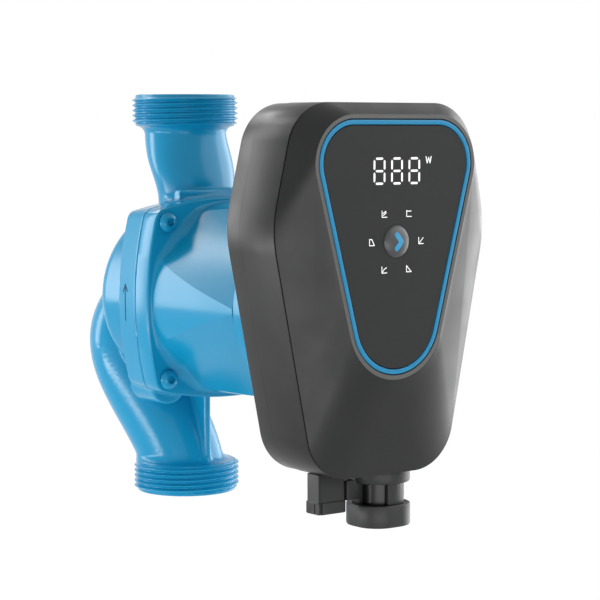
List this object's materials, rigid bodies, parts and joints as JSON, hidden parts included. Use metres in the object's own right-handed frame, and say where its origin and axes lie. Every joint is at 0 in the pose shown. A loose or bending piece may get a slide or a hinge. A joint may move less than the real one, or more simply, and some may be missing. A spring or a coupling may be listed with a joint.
{
  "type": "circulator pump",
  "caption": "In-line wet-rotor circulator pump with threaded pipe ports, painted cast housing and motor, and a dark control box with a display, a mode button and plug sockets.",
  "frame": {"origin": "where the pipe axis crosses the motor axis, midway between the two port faces", "axes": "+Z along the pipe axis in the direction of flow, from inlet to outlet; -Y along the motor axis towards the display; +X to the right as seen facing the display"},
  "size_m": [0.1078, 0.1967, 0.18],
  "materials": {
    "blue_paint": "glossy blue paint on cast iron",
    "dark_plastic": "satin moulded plastic",
    "black_plastic": "satin moulded plastic",
    "steel": "plain",
    "iron": "plain",
    "copper": "enamelled copper",
    "contact_brass": "plain",
    "ceramic": "polished ceramic",
    "rubber": "plain",
    "trim_blue": "glossy",
    "panel_gloss": "smooth window",
    "button_grey": "satin",
    "board_green": "lacquered board"
  },
  "bodies": {
    "pump_body": {"pump_housing": "blue_paint", "neck_ring": "steel", "bearing_plate": "steel", "front_bearing": "ceramic", "rear_bearing": "ceramic", "housing_gasket": "rubber", "rotor_can": "steel", "can_seal": "rubber", "stator_core": "iron", "winding_1": "copper", "winding_2": "copper", "winding_3": "copper", "winding_4": "copper", "winding_5": "copper", "winding_6": "copper", "motor_housing": "blue_paint", "motor_screw_1": "blue_paint", "motor_screw_2": "blue_paint", "motor_screw_3": "blue_paint", "motor_screw_4": "blue_paint", "control_base": "dark_plastic", "cover_seal": "rubber", "box_screw_1": "steel", "box_screw_2": "steel", "box_screw_3": "steel", "box_screw_4": "steel", "cover_screw_1": "steel", "cover_screw_2": "steel", "cover_screw_3": "steel", "cover_screw_4": "steel", "control_frame": "dark_plastic", "front_cover": "dark_plastic", "panel_trim": "trim_blue", "display_panel": "panel_gloss", "main_board": "board_green", "capacitor": "black_plastic", "choke": "copper", "board_header": "black_plastic", "display_board": "board_green", "digit_display": "black_plastic", "tact_switch": "black_plastic", "signal_socket": "dark_plastic", "power_socket": "dark_plastic", "power_insert": "black_plastic", "power_lock_ring": "dark_plastic", "signal_pin_1": "contact_brass", "signal_pin_2": "contact_brass", "signal_pin_3": "contact_brass", "power_pin_1": "contact_brass", "power_pin_2": "contact_brass", "power_pin_3": "contact_brass"},
    "rotor": {"impeller": "black_plastic", "impeller_shroud": "black_plastic", "shaft": "ceramic", "thrust_ring": "black_plastic", "rotor_core": "steel", "rotor_magnet": "iron", "rotor_sleeve": "steel"},
    "button": {"mode_button": "button_grey"}
  },
  "joints": [
    {"name": "rotor_spin", "type": "hinge", "parent": "pump_body", "child": "rotor", "pos_m": [0, 0, 0], "axis": [0, 1, 0], "continuous": true},
    {"name": "button_press", "type": "slide", "parent": "pump_body", "child": "button", "axis": [0, 1, 0], "range_m": [0, 0.001], "stiffness_N_per_m": 400}
  ]
}
